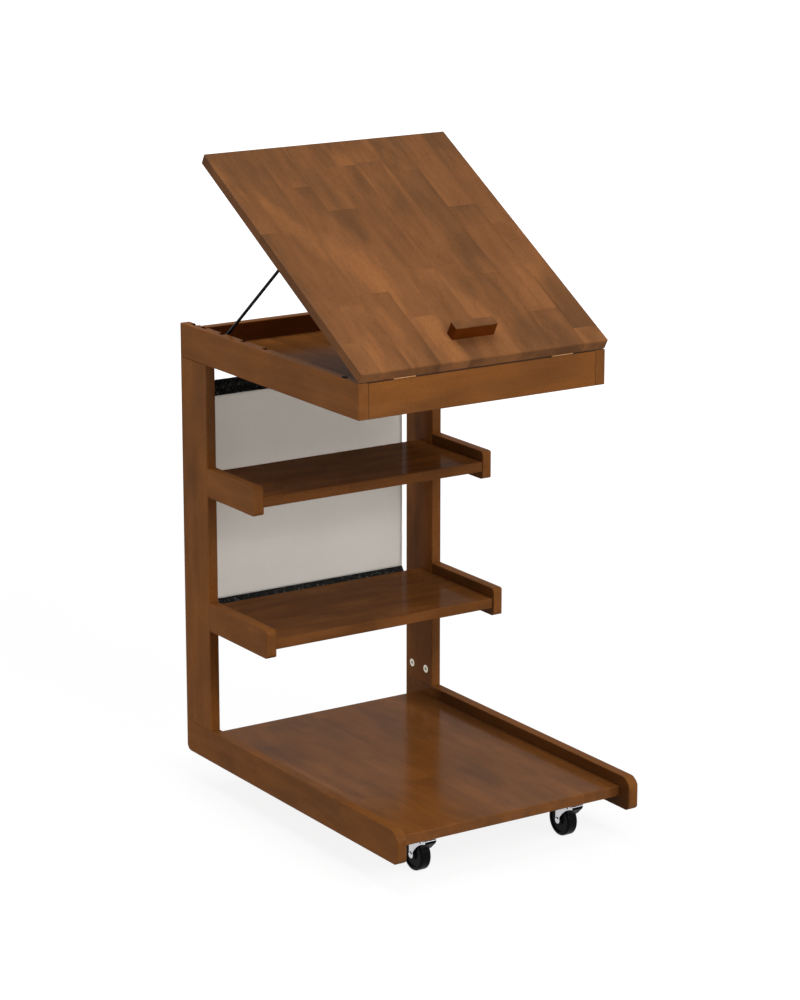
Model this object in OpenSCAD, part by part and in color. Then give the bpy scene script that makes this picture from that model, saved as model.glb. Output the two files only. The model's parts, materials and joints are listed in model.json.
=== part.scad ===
// C-shaped end table on four casters: two side frames, three panels and a tray with a tilting lid.
// Frame: millimetres, X to the right, Y to the back, Z up.
// Origin at the middle of the bounding box's bottom face; the open side of the C looks along -Y.
// Every piece is drawn where it sits with the lid propped at lid_angle.

/* [Overall] */
// outer width across the side frames
width = 400; // [330:1:520]
// length of the base rails, front to back
depth = 568; // [540:1:680]
// height of the tray's upper edges above the floor
tray_top = 682.5; // [640:0.5:760]
// thickness of the frame boards
board = 15.5; // [15:0.5:18]
// thickness of the base and shelf panels
panel = 15; // [14:0.5:18]
// easing radius of the boards' long edges
ease = 1.5; // [0.4:0.1:2]
// rounding of the upright edges at the rails' front ends
end_ease = 3.5; // [1:0.1:5]
// the same on the shelf rails' inner sides, in front of the shelf panels
end_inner = 2; // [1:0.1:3]

/* [Base] */
// height of the base panel's underside, which is the casters' full height
caster_height = 58.5; // [57:0.5:64]
// height of the base rails on edge
base_rail_h = 49; // [44:1:60]
// how far the base rails hang below the base panel
base_drop = 17.5; // [10:0.5:24]
// how far the base panel's front stays behind the rails' front ends
base_setback = 24.3; // [10:0.1:40]
// radius of a base rail's upper front corner
base_front_r = 20; // [6:1:24]
// radius of a base rail's lower corners
base_foot_r = 15; // [4:1:18]
// radius of a base rail's long lower edges
base_edge_r = 4; // [1:0.5:6]

/* [Posts] */
// depth of a post, front to back
post_depth = 71; // [66:1:90]
// how far the panels' rear edges stay in front of the posts' rear faces
panel_back = 36.5; // [30:0.5:44]

/* [Shelves] */
// height of a shelf rail on edge
shelf_rail_h = 42; // [38:1:50]
// height of the lower shelf rails' undersides
lower_shelf_z = 241.5; // [200:0.5:270]
// length of a lower shelf rail in front of the post
lower_shelf_len = 163; // [120:1:200]
// height of the upper shelf rails' undersides
upper_shelf_z = 441; // [400:0.5:470]
// length of an upper shelf rail in front of the post
upper_shelf_len = 132.5; // [110:0.5:170]
// height of a shelf panel's underside above its rails' undersides
shelf_drop = 11.5; // [8:0.5:16]
// setback of the lower shelf panel behind its rails' ends
lower_setback = 4; // [1:0.5:10]
// setback of the upper shelf panel behind its rails' ends
upper_setback = 2; // [1:0.5:10]
// radius of a shelf rail's front corners
shelf_end_r = 8; // [3:1:14]

/* [Tray] */
// height of the tray's side rails and front rail
tray_rail_h = 49.5; // [46:0.5:60]
// length of the tray, front to back
tray_len = 474; // [460:1:500]
// how far the rear rail's top stays below the side rails' tops
rear_gap = 8.4; // [4:0.1:9]
// thickness of the tray's bottom panel
tray_bottom = 9; // [6:0.5:10]
// height of the bottom panel's groove above the rails' undersides
groove_z = 5; // [4:0.5:7]
// depth of the groove
groove_depth = 3; // [2.6:0.1:3.2]

/* [Lid] */
// opening angle of the lid as drawn
lid_angle = 30.2; // [12:0.1:42]
// largest opening angle of the lid
lid_max = 47; // [46:0.5:50]
// gap between the closed lid and the rails
lid_gap = 1; // [0.8:0.1:1.4]
// how far the closed lid's rear edge stays in front of the tray's
lid_back = 3; // [1:0.5:6]
// plan radius of the lid's corners
lid_corner = 3.5; // [2:0.5:8]
// easing radius of the lid's edges
lid_ease = 2; // [1.8:0.1:3]
// length of the book ledge
ledge_len = 68; // [50:1:90]
// height of the book ledge above the lid
ledge_h = 20; // [18:0.5:26]
// distance of the book ledge from the lid's front edge
ledge_y = 41.5; // [30:0.5:60]

/* [Prop] */
// diameter of the prop wire
wire = 4.5; // [3:0.5:5]
// distance of the wire's pivot bar from the lid's hinge axis
prop_back = 248.8; // [244:0.1:252]
// length of the wire's legs
prop_len = 200; // [196:1:204]
// depth of the prop notches
notch_depth = 5; // [4:0.5:6]
// radius of the scooped notches
notch_r = 6.5; // [5:0.5:8]
// width of the notches, across the rail
notch_w = 8; // [6:0.5:10]

/* [Hinges] */
// length of a hinge
hinge_len = 35; // [30:1:45]
// distance of a hinge's middle from the middle of the lid
hinge_x = 127.8; // [90:0.1:135]
// how far the hinge axis stays behind the lid's front edge
hinge_in = 1.2; // [1.2:0.1:2]
// radius of the knuckles
knuckle_r = 1.4; // [1.3:0.1:2]
// radius of the hinge pins
hinge_pin_r = 0.75; // [0.7:0.05:0.85]
// depth of a hinge leaf behind the axis
leaf_depth = 12; // [11:0.5:14]

/* [Casters] */
// radius of the wheels
wheel_r = 23.5; // [22.5:0.5:24]
// half the width of a wheel's tread
wheel_half = 8.3; // [7:0.1:8.5]
// distance of the casters from the middle of the table
caster_x = 122.7; // [100:0.1:130]
// distance of the front casters' swivel axes from the base rails' front ends
caster_front = 57; // [50:1:80]
// distance of the rear casters' swivel axes from the base rails' rear ends
caster_rear = 69; // [60:1:90]
// trail of a wheel behind its swivel axis
trail = 14; // [12:0.5:16]
// side of the square caster plates
plate = 38; // [38:1:44]

/* [Fabric] */
// width of the hanging fabric
fabric_w = 327; // [260:1:340]
// thickness of the fabric
fabric_t = 1.2; // [0.8:0.1:1.5]
// distance of the fabric's middle plane from the posts' rear faces
fabric_in = 20; // [18:0.5:24]
// height of the fabric's upper edge below the tray rails
fabric_top = 59; // [50:1:70]
// height of the upper hook-and-loop band below the fabric rod
band_h = 17.5; // [14:0.5:24]
// radius of the rod that carries the fabric
rod_r = 4; // [3:0.5:5]

/* [Fittings] */
// radius of a cam lock
cam_r = 6; // [5.5:0.5:6.5]
// depth of a cam lock
cam_depth = 12; // [11:0.5:12]
// distance of a cam lock's middle from the joint
cam_back = 23; // [20:0.5:26]
// distance of the two cam locks at a post's end from its middle
cam_pitch = 18.75; // [14:0.25:22]
// radius of the dowels
dowel_r = 4; // [3:0.5:4]
// depth of a dowel in the board that it stands on
dowel_in = 10; // [8:0.5:10.5]
// depth of a dowel in the board's end
dowel_end = 20; // [16:1:24]
// clearance of fixed fittings in their bores
fit_c = 0.05; // [0.03:0.01:0.08]
// clearance of turning fits
run_c = 0.05; // [0.03:0.01:0.08]

/* [Node] */
// which sub-part to draw

/* [Hidden] */

$fn = 96;
// reach of cutters past the faces that they cut
over = 1;

// easing that leaves a fine line at the front rail's joints
joint_ease = 0.5;
// corner radii of an outline: all four alike
function four(r) = [r, r, r, r];
EASED = four(ease);
SHARP = four(0);

// side frames
rear_y = depth / 2;
front_y = -depth / 2;
inner_x = width / 2 - board;
base_z = caster_height - base_drop;
base_top = base_z + base_rail_h;
tray_z = tray_top - tray_rail_h;
post_front = rear_y - post_depth;
post_mid = rear_y - post_depth / 2;
panel_rear = rear_y - panel_back;
panel_in = post_depth - panel_back;
lower_panel_z = lower_shelf_z + shelf_drop;
upper_panel_z = upper_shelf_z + shelf_drop;
lower_front = post_front - lower_shelf_len + lower_setback;
upper_front = post_front - upper_shelf_len + upper_setback;
base_front = front_y + base_setback;

// tray
tray_front = rear_y - tray_len;
rear_rail_h = tray_rail_h - rear_gap;
groove_play = 0.1;
groove_h = tray_bottom + 2 * groove_play;

// lid and hinges, with the lid closed
lid_z = tray_top + lid_gap;
lid_len = tray_len - lid_back;
axis_y = tray_front + hinge_in;
axis_z = tray_top + lid_gap / 2;
leaf_gap = 0.1;
mortise = 0.5;
leaf_z = -lid_gap / 2 - mortise;
leaf_t = lid_gap / 2 + mortise - leaf_gap / 2;
relief_r = knuckle_r + 0.3;
leaf_root = hinge_pin_r + 0.3;
leaf_start = knuckle_r + 0.2;
knuckle_gap = 0.25;
knuckle_len = (hinge_len - 2 * knuckle_gap) / 3;
screw_inset = 6;
screw_back = 7.5;
hinge_screw_r = 1.2;
hinge_head_r = 2.05;
hinge_screw_len = 10;

// prop: its foot rests at the height of the closed lid's pivot bar
prop_drop = tray_top + lid_gap - (tray_top - notch_depth + wire / 2);
foot_z = tray_top - notch_depth + wire / 2;
pivot_low = axis_z - foot_z;
leg_x = inner_x - wire / 2 - 1.5;
foot_x = inner_x - 0.5;
elbow = 6;
foot_elbow = wire / 2 + 0.5;
function pivot_y(a) = prop_back * cos(a) + pivot_low * sin(a);
function pivot_z(a) = prop_back * sin(a) - pivot_low * cos(a);
function prop_fall(a) = asin((pivot_z(a) + pivot_low) / prop_len);
function foot_y(a) = pivot_y(a) + prop_len * cos(prop_fall(a));
prop_angle = lid_angle + prop_fall(lid_angle);
notch_angles = [0, 18, lid_angle, 40, lid_max];
clip_x = 150;
clip_w = 14;
clip_hump = 12;
clip_len = 34;
clip_flange = 2.5;
clip_wall = 1.5;
clip_screw_y = 11;
clip_screw_r = 1.5;
clip_screw_len = 11;
clip_head_r = 3;
clip_head_h = 1.6;

// ledge fixing
ledge_screw_x = 22;
ledge_screw_r = 2;
ledge_head_r = 3.8;
ledge_screw_len = board + ledge_h - 6;

// bumpers
bumper_r = 4;
bumper_h = lid_gap - 0.1;
bumper_in = 8.2;
bumper_back = 46.3;
bumper_x = width / 2 - bumper_in;
bumper_y = tray_front + bumper_back;

// fabric
soft_gap = 0.3;
fabric_y = rear_y - fabric_in;
fabric_top_z = tray_z - fabric_top;
rod_z = fabric_top_z + band_h;
rod_in = 8;
fabric_up = 18.1;
fabric_low_z = lower_panel_z + fabric_up;
band_t = 1.5;
band_gap = 0.45;
loop_r = rod_r + soft_gap + band_t;
band_bend = 14.3;
band_reach = 36;
strap_z = lower_panel_z - band_gap - band_t / 2;

// fittings
anchor_r = 3;
anchor_len = 9;
shank_r = 2.5;
neck_r = 2;
bolt_head_r = 3;
channel_r = 3.5;
end_play = 0.3;
shelf_dowels = [11, 32];
base_cam_in = 39;
lower_cam_in = 42;
upper_cam_in = 40;
front_cam_up = 34;
front_dowel_up = 21.5;
rear_cam_up = 33;
rear_dowel_up = 20.5;
post_cam_y = post_front + panel_in / 2;
base_cam_y = [base_front + base_cam_in, (base_front + panel_rear) / 2, post_cam_y];
lower_cam_y = [lower_front + lower_cam_in, post_cam_y];
upper_cam_y = [upper_front + upper_cam_in, post_cam_y];
front_cam_z = tray_z + front_cam_up;
front_dowel_z = tray_z + front_dowel_up;
rear_cam_z = tray_z + rear_cam_up;
rear_dowel_z = tray_z + rear_dowel_up;

// casters, each in its own frame with the swivel axis as Z and the wheel towards +Y
fork_half = 10.5;
fork_t = 1.5;
hood_down = 6;
hood_top = caster_height - hood_down;
hood_t = 2;
hood_front = 19.5;
hood_rear = 4.8;
leg_half = 5;
hood_r = 2.1;
hood_nose = 1.6;
arc_y = -30.9;
arc_down = 56.9;
arc_z = caster_height - arc_down;
arc_r = 47.7;
race_r = 9;
race_down = 4.65;
race_z = caster_height - race_down;
plate_t = 2;
plate_z = caster_height - plate_t;
king_r = 3;
king_head_r = 4.4;
king_head_down = 9.6;
king_head_z = caster_height - king_head_down;
axle_r = 2.5;
axle_head_r = 4.2;
axle_head = 1.3;
plate_hole = plate / 2 - 5;
plate_corner = 4;
caster_screw_r = 1.75;
caster_screw_len = 10;
caster_head_r = 3.2;
caster_head_h = 1.6;
pedal_half = 8;
pedal_back = 23.5;
pedal_y = trail - pedal_back;
pedal_down = 11;
pedal_z = caster_height - pedal_down;
pedal_reach = 10.8;
pedal_drop = 11.5;
pedal_pin_r = 1.5;
pedal_gap = 2;
pedal_clear = wheel_r + pedal_gap;
pedal_travel = 11;
casters = [
  [-caster_x, front_y + caster_front],
  [caster_x, front_y + caster_front],
  [-caster_x, rear_y - caster_rear],
  [caster_x, rear_y - caster_rear]
];

WOOD = [0.42, 0.25, 0.13];
ZINC = [0.78, 0.78, 0.8];
BLACK = [0.06, 0.06, 0.06];
CLOTH = [0.62, 0.59, 0.54];
PINE = [0.8, 0.68, 0.5];

echo(axis_y = axis_y, axis_z = axis_z, pivot_y = axis_y + pivot_y(lid_angle));
echo(pivot_z = axis_z + pivot_z(lid_angle), prop_angle = prop_angle, ratio = -prop_angle / lid_angle);
echo(feet = [for (a = notch_angles) axis_y + foot_y(a)]);

// one corner to take off a rectangle: everything outside the quarter circle
module corner(r) {
  difference() {
    translate([-over, -over]) square(r + over);
    translate([r, r]) circle(r);
  }
}

// rectangle with its own radius at each corner, from the lower left one anticlockwise
module outline(w, h, r) {
  difference() {
    square([w, h]);
    if (r[0] > 0) corner(r[0]);
    if (r[1] > 0) translate([w, 0]) rotate(90) corner(r[1]);
    if (r[2] > 0) translate([w, h]) rotate(180) corner(r[2]);
    if (r[3] > 0) translate([0, h]) rotate(270) corner(r[3]);
  }
}

// board from its lower left front corner, with the corner radii of its side, front and plan outlines
module board_blank(size, side, front, plan) {
  intersection() {
    rotate([90, 0, 90]) linear_extrude(size.x) outline(size.y, size.z, side);
    translate([0, size.y, 0]) rotate([90, 0, 0]) linear_extrude(size.y) outline(size.x, size.z, front);
    linear_extrude(size.z) outline(size.x, size.y, plan);
  }
}

// joint frame at p: X along the bolt into the drilled board's end, Z out of the cam lock's open face
module at(p, bolt, face) {
  y = cross(face, bolt);
  multmatrix([
    [bolt.x, y.x, face.x, p.x],
    [bolt.y, y.y, face.y, p.y],
    [bolt.z, y.z, face.z, p.z],
    [0, 0, 0, 1]
  ]) children();
}

module rod_x(from, to, r) {
  translate([from, 0, 0]) rotate([0, 90, 0]) cylinder(h = to - from, r = r);
}

// cam joint in a board of thickness t
module cam_cut(t) {
  translate([0, 0, -t / 2]) rod_x(-anchor_len - end_play, over, anchor_r + fit_c);
  translate([0, 0, -t / 2]) rod_x(0, cam_back + channel_r, channel_r);
  translate([cam_back, 0, -cam_depth - end_play])
    cylinder(h = cam_depth + end_play + over, r = cam_r + fit_c);
}

module cam_bolt(t) {
  translate([0, 0, -t / 2]) {
    rod_x(-anchor_len, 0, anchor_r);
    rod_x(0, cam_back - cam_r, shank_r);
    rod_x(cam_back - cam_r, cam_back, neck_r);
    rod_x(cam_back - 1, cam_back + 2.4, bolt_head_r);
  }
}

module cam_lock(t) {
  difference() {
    translate([cam_back, 0, -cam_depth]) cylinder(h = cam_depth, r = cam_r);
    translate([0, 0, -t / 2]) rod_x(0, cam_back + channel_r, channel_r);
    translate([cam_back - 3.5, -0.6, -1]) cube([7, 1.2, 1 + over]);
    translate([cam_back - 0.6, -3.5, -1]) cube([1.2, 7, 1 + over]);
  }
}

module dowel_cut(t) {
  translate([0, 0, -t / 2]) rod_x(-dowel_in - end_play, dowel_end + end_play, dowel_r + fit_c);
}

module dowel(t) {
  translate([0, 0, -t / 2]) rod_x(-dowel_in, dowel_end, dowel_r);
}

// joints of the right side frame
module post_cam_sites() {
  for (s = [-1, 1]) {
    at([inner_x, post_mid + s * cam_pitch, base_top], [0, 0, 1], [-1, 0, 0]) children();
    at([inner_x, post_mid + s * cam_pitch, tray_z], [0, 0, -1], [-1, 0, 0]) children();
  }
}

module post_dowel_sites() {
  at([inner_x, post_mid, base_top], [0, 0, 1], [-1, 0, 0]) children();
  at([inner_x, post_mid, tray_z], [0, 0, -1], [-1, 0, 0]) children();
}

module shelf_dowel_sites() {
  for (z = shelf_dowels) {
    at([inner_x, post_front, lower_shelf_z + z], [0, -1, 0], [-1, 0, 0]) children();
    at([inner_x, post_front, upper_shelf_z + z], [0, -1, 0], [-1, 0, 0]) children();
  }
}

module panel_cam_sites() {
  for (y = base_cam_y) at([inner_x, y, caster_height], [-1, 0, 0], [0, 0, -1]) children();
  for (y = lower_cam_y) at([inner_x, y, lower_panel_z], [-1, 0, 0], [0, 0, -1]) children();
  for (y = upper_cam_y) at([inner_x, y, upper_panel_z], [-1, 0, 0], [0, 0, -1]) children();
}

module tray_cam_sites() {
  at([inner_x, tray_front + board, front_cam_z], [-1, 0, 0], [0, 1, 0]) children();
  at([inner_x, rear_y - board, rear_cam_z], [-1, 0, 0], [0, -1, 0]) children();
}

module tray_dowel_sites() {
  at([inner_x, tray_front + board, front_dowel_z], [-1, 0, 0], [0, 1, 0]) children();
  at([inner_x, rear_y - board, rear_dowel_z], [-1, 0, 0], [0, -1, 0]) children();
}

// every joint cutter of the right side
module side_cuts() {
  post_cam_sites() cam_cut(board);
  post_dowel_sites() dowel_cut(board);
  shelf_dowel_sites() dowel_cut(board);
}

module panel_cuts() { panel_cam_sites() cam_cut(panel); }

module tray_cuts() {
  tray_cam_sites() cam_cut(board);
  tray_dowel_sites() dowel_cut(board);
}

module both() {
  children();
  mirror([1, 0, 0]) children();
}

// side boards, drawn on the right
module base_rail() {
  difference() {
    translate([inner_x, front_y, base_z])
      board_blank([board, depth, base_rail_h],
        [base_foot_r, base_foot_r, 0, base_front_r], [base_edge_r, base_edge_r, ease, ease],
        [end_ease, end_ease, ease, ease]);
    side_cuts();
    panel_cuts();
  }
}

module post() {
  difference() {
    translate([inner_x, post_front, base_top])
      board_blank([board, post_depth, tray_z - base_top], SHARP, SHARP, EASED);
    side_cuts();
    panel_cuts();
    translate([0, fabric_y, rod_z]) rod_x(inner_x - over, inner_x + rod_in + end_play, rod_r + fit_c);
  }
}

module tray_rail() {
  difference() {
    translate([inner_x, tray_front, tray_z])
      board_blank([board, tray_len, tray_rail_h], EASED, EASED, [0, ease, ease, 0]);
    side_cuts();
    tray_cuts();
    translate([inner_x - over, tray_front + board - groove_depth, tray_z + groove_z])
      cube([groove_depth + over, tray_len - 2 * board + 2 * groove_depth, groove_h]);
    for (a = notch_angles)
      translate([0, axis_y + foot_y(a), tray_top - notch_depth + notch_r])
        rod_x(inner_x - over, inner_x + notch_w, notch_r);
  }
}

module shelf_rail(z, len) {
  difference() {
    translate([inner_x, post_front - len, z])
      board_blank([board, len, shelf_rail_h],
        [shelf_end_r, 0, 0, shelf_end_r], EASED, [end_inner, end_ease, 0, 0]);
    side_cuts();
    panel_cuts();
  }
}

module panel_board(z, from, to) {
  difference() {
    translate([-inner_x, from, z])
      board_blank([2 * inner_x, to - from, panel], EASED, SHARP, SHARP);
    both() panel_cuts();
  }
}

module left_base_rail() color(WOOD) mirror([1, 0, 0]) base_rail();
module right_base_rail() color(WOOD) base_rail();
module left_post() color(WOOD) mirror([1, 0, 0]) post();
module right_post() color(WOOD) post();
module left_tray_rail() color(WOOD) mirror([1, 0, 0]) tray_rail();
module right_tray_rail() color(WOOD) tray_rail();
module left_upper_shelf_rail() color(WOOD) mirror([1, 0, 0]) shelf_rail(upper_shelf_z, upper_shelf_len);
module right_upper_shelf_rail() color(WOOD) shelf_rail(upper_shelf_z, upper_shelf_len);
module left_lower_shelf_rail() color(WOOD) mirror([1, 0, 0]) shelf_rail(lower_shelf_z, lower_shelf_len);
module right_lower_shelf_rail() color(WOOD) shelf_rail(lower_shelf_z, lower_shelf_len);

module base_panel() color(WOOD) {
  difference() {
    panel_board(caster_height, base_front, panel_rear);
    for (c = casters) translate([c.x, c.y, caster_height - over]) screw_sites()
      cylinder(h = caster_screw_len + end_play + over, r = caster_screw_r + fit_c);
  }
}

module lower_shelf_panel() color(WOOD) panel_board(lower_panel_z, lower_front, panel_rear);
module upper_shelf_panel() color(WOOD) panel_board(upper_panel_z, upper_front, panel_rear);

// tray
module tray_front_rail() color(WOOD) {
  difference() {
    translate([-inner_x, tray_front, tray_z])
      board_blank([2 * inner_x, board, tray_rail_h],
        [ease, 0, ease, ease], SHARP, [joint_ease, joint_ease, 0, 0]);
    both() tray_cuts();
    translate([-inner_x - over, tray_front + board - groove_depth, tray_z + groove_z])
      cube([2 * inner_x + 2 * over, groove_depth + over, groove_h]);
    both() hinge_site() hinge_rail_cut();
  }
}

module tray_rear_rail() color(WOOD) {
  difference() {
    translate([-inner_x, rear_y - board, tray_z])
      board_blank([2 * inner_x, board, rear_rail_h], [0, ease, ease, ease], SHARP, SHARP);
    both() tray_cuts();
    translate([-inner_x - over, rear_y - board - over, tray_z + groove_z])
      cube([2 * inner_x + 2 * over, groove_depth + over, groove_h]);
  }
}

module tray_bottom_panel() color(WOOD) {
  half = inner_x + groove_depth - 2 * groove_play;
  translate([-half, tray_front + board - groove_depth + 2 * groove_play, tray_z + groove_z + groove_play])
    cube([2 * half, tray_len - 2 * board + 2 * groove_depth - 4 * groove_play, tray_bottom]);
}

// hinges, drawn closed with the axis as X and the leaves towards +Y
module hinge_site() { translate([hinge_x, axis_y, axis_z]) children(); }

module hinge_screw_sites() {
  for (s = [-1, 1]) translate([s * (hinge_len / 2 - screw_inset), screw_back, 0]) children();
}

module hinge_relief() { rod_x(-hinge_len / 2 - 0.3, hinge_len / 2 + 0.3, relief_r); }

module hinge_rail_cut() {
  hinge_relief();
  translate([-hinge_len / 2 - 0.1, 0, leaf_z])
    cube([hinge_len + 0.2, leaf_depth + 0.1, mortise + over]);
  hinge_screw_sites() translate([0, 0, leaf_z - hinge_screw_len])
    cylinder(h = hinge_screw_len, r = hinge_screw_r + fit_c);
}

module hinge_lid_cut() { mirror([0, 0, 1]) hinge_rail_cut(); }

// leaf whose plate lies below the axis; knuckles in the list of slots from 0 to 2
module leaf(slots) {
  difference() {
    union() {
      translate([-hinge_len / 2, leaf_start, leaf_z]) cube([hinge_len, leaf_depth - leaf_start, leaf_t]);
      for (i = slots) translate([-hinge_len / 2 + i * (knuckle_len + knuckle_gap), 0, 0]) {
        rod_x(0, knuckle_len, knuckle_r);
        translate([0, leaf_root, leaf_z]) cube([knuckle_len, leaf_start - leaf_root + over, leaf_t]);
      }
    }
    rod_x(-hinge_len, hinge_len, hinge_pin_r + run_c);
    hinge_screw_sites() {
      translate([0, 0, leaf_z - over]) cylinder(h = leaf_t + 2 * over, r = hinge_screw_r + fit_c);
      translate([0, 0, leaf_z])
        cylinder(h = leaf_t + 0.01, r1 = hinge_screw_r + fit_c, r2 = hinge_head_r + 2 * fit_c);
    }
  }
}

module hinge_screw() {
  translate([0, 0, leaf_z - hinge_screw_len + end_play])
    cylinder(h = hinge_screw_len - end_play + 0.1, r = hinge_screw_r);
  translate([0, 0, leaf_z]) cylinder(h = leaf_t - fit_c, r1 = hinge_screw_r, r2 = hinge_head_r);
}

// lid assembly: modelled closed, then turned about the hinge axis
module opened() {
  translate([0, axis_y, axis_z]) rotate([lid_angle, 0, 0]) translate([0, -axis_y, -axis_z]) children();
}

module left_hinge_frame_leaf() color(ZINC) mirror([1, 0, 0]) hinge_site() leaf([0, 2]);
module right_hinge_frame_leaf() color(ZINC) hinge_site() leaf([0, 2]);
module left_hinge_lid_leaf() color(ZINC) opened() mirror([1, 0, 0]) hinge_site() mirror([0, 0, 1]) leaf([1]);
module right_hinge_lid_leaf() color(ZINC) opened() hinge_site() mirror([0, 0, 1]) leaf([1]);
module hinge_pins() color(ZINC) both() hinge_site() rod_x(-hinge_len / 2, hinge_len / 2, hinge_pin_r);
module hinge_frame_screws() color(ZINC) both() hinge_site() hinge_screw_sites() hinge_screw();
module hinge_lid_screws() color(ZINC) opened() both() hinge_site() mirror([0, 0, 1])
  hinge_screw_sites() hinge_screw();

module lid_panel() color(WOOD) opened() {
  difference() {
    translate([-width / 2, tray_front, lid_z])
      board_blank([width, lid_len, board], four(lid_ease), four(lid_ease), four(lid_corner));
    both() hinge_site() hinge_lid_cut();
    clip_sites() clip_screw_sites() translate([0, 0, lid_z - over])
      cylinder(h = clip_screw_len - clip_flange + end_play + over, r = clip_screw_r + fit_c);
    ledge_screw_sites() ledge_screw_cut();
  }
}

module ledge_screw_sites() {
  for (s = [-1, 1]) translate([s * ledge_screw_x, tray_front + ledge_y + board / 2, lid_z]) children();
}

module ledge_screw_cut() {
  translate([0, 0, -over]) cylinder(h = ledge_screw_len + end_play + over, r = ledge_screw_r + fit_c);
  translate([0, 0, -over]) cylinder(h = over + 0.12, r = ledge_head_r + 2 * fit_c);
  translate([0, 0, 0.1])
    cylinder(h = ledge_head_r - ledge_screw_r, r1 = ledge_head_r + 2 * fit_c, r2 = ledge_screw_r + 2 * fit_c);
}

module book_ledge() color(WOOD) opened() {
  difference() {
    translate([-ledge_len / 2, tray_front + ledge_y, lid_z + board])
      board_blank([ledge_len, board, ledge_h], [0, 0, ease, ease], [0, 0, ease, ease], EASED);
    ledge_screw_sites() ledge_screw_cut();
  }
}

module book_ledge_screws() color(ZINC) opened() {
  ledge_screw_sites() {
    translate([0, 0, 0.1]) cylinder(h = ledge_head_r - ledge_screw_r, r1 = ledge_head_r, r2 = ledge_screw_r);
    translate([0, 0, 0.2]) cylinder(h = ledge_screw_len - 0.2, r = ledge_screw_r);
  }
}

// prop wire and its clips
module clip_sites() {
  for (s = [-1, 1]) translate([s * clip_x, axis_y + prop_back, 0]) children();
}

module clip_screw_sites() {
  for (s = [-1, 1]) translate([0, s * clip_screw_y, 0]) children();
}

module prop_clips() color(BLACK) opened() clip_sites() {
  low = foot_z - wire / 2 - clip_wall;
  difference() {
    union() {
      translate([-clip_w / 2, -clip_hump / 2, low]) cube([clip_w, clip_hump, lid_z - low]);
      translate([-clip_w / 2, -clip_len / 2, lid_z - clip_flange]) cube([clip_w, clip_len, clip_flange]);
    }
    translate([0, 0, foot_z]) rod_x(-clip_w, clip_w, wire / 2 + 2 * run_c);
    clip_screw_sites() translate([0, 0, lid_z - clip_flange - over])
      cylinder(h = clip_flange + 2 * over, r = clip_screw_r + fit_c);
  }
}

module prop_clip_screws() color(ZINC) opened() clip_sites() clip_screw_sites() {
  translate([0, 0, lid_z - clip_flange]) cylinder(h = clip_screw_len, r = clip_screw_r);
  translate([0, 0, lid_z - clip_flange - clip_head_h]) cylinder(h = clip_head_h, r = clip_head_r);
}

// quarter bend of the wire about Z, from +X round to +Y
module bend(r) { rotate_extrude(angle = 90) translate([r, 0]) circle(wire / 2); }

// half of the wire in its own frame: pivot bar along X, leg towards +Y, foot outwards
module half_wire() {
  rod_x(0, leg_x - elbow, wire / 2);
  translate([leg_x - elbow, elbow, 0]) rotate(-90) bend(elbow);
  translate([leg_x, elbow, 0]) rotate([-90, 0, 0]) cylinder(h = prop_len - elbow - foot_elbow, r = wire / 2);
  translate([leg_x + foot_elbow, prop_len - foot_elbow, 0]) rotate(90) bend(foot_elbow);
  translate([0, prop_len, 0]) rod_x(leg_x + foot_elbow, foot_x, wire / 2);
}

module prop_wire() color(BLACK) {
  translate([0, axis_y + pivot_y(lid_angle), axis_z + pivot_z(lid_angle)])
    rotate([lid_angle - prop_angle, 0, 0]) both() half_wire();
}

module lid_bumpers() color(BLACK) {
  for (s = [-1, 1]) translate([s * bumper_x, bumper_y, tray_top]) cylinder(h = bumper_h, r = bumper_r);
}

// fabric
module fabric_panel() color(CLOTH) {
  translate([-fabric_w / 2, fabric_y - fabric_t / 2, fabric_low_z])
    cube([fabric_w, fabric_t, fabric_top_z - soft_gap - fabric_low_z]);
}

// flat tail below a loop round the rod, extruded along X
module fabric_upper_band() color(BLACK) {
  translate([-fabric_w / 2, fabric_y, 0]) rotate([90, 0, 90]) linear_extrude(fabric_w) difference() {
    union() {
      translate([0, rod_z]) circle(loop_r);
      translate([-band_t, fabric_top_z]) square([2 * band_t, rod_z - fabric_top_z]);
    }
    translate([0, rod_z]) circle(rod_r + soft_gap);
  }
}

// sloping strap from the fabric's lower edge to the lower shelf's underside
module fabric_lower_band() color(BLACK) {
  top_z = fabric_low_z - soft_gap;
  fall = atan2(top_z - strap_z, band_bend);
  reach = norm([band_bend, top_z - strap_z]);
  translate([-fabric_w / 2, fabric_y, 0]) rotate([90, 0, 90]) linear_extrude(fabric_w) difference() {
    union() {
      translate([-band_bend, strap_z]) circle(band_t / 2);
      translate([-band_bend, strap_z]) rotate(fall) translate([0, -band_t / 2]) square([reach, band_t]);
      translate([-band_reach, strap_z - band_t / 2]) square([band_reach - band_bend, band_t]);
    }
    translate([-band_t, top_z]) square(2 * band_t);
  }
}

module fabric_rod() color(ZINC) {
  translate([0, fabric_y, rod_z]) rod_x(-inner_x - rod_in, inner_x + rod_in, rod_r);
}

// caster pieces
module screw_sites() {
  for (i = [-1, 1], j = [-1, 1]) translate([i * plate_hole, j * plate_hole, 0]) children();
}

module caster_plate() {
  difference() {
    union() {
      translate([-plate / 2, -plate / 2, plate_z])
        linear_extrude(caster_height - plate_z) outline(plate, plate, four(plate_corner));
      translate([0, 0, race_z + run_c]) cylinder(h = plate_z - race_z, r = race_r + 1);
      translate([0, 0, king_head_z]) cylinder(h = plate_z - king_head_z, r = king_r);
      translate([0, 0, king_head_z]) cylinder(h = hood_top - hood_t - king_head_z - run_c, r = king_head_r);
    }
    screw_sites() translate([0, 0, plate_z - over]) cylinder(h = caster_height, r = caster_screw_r + fit_c);
  }
}

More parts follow.
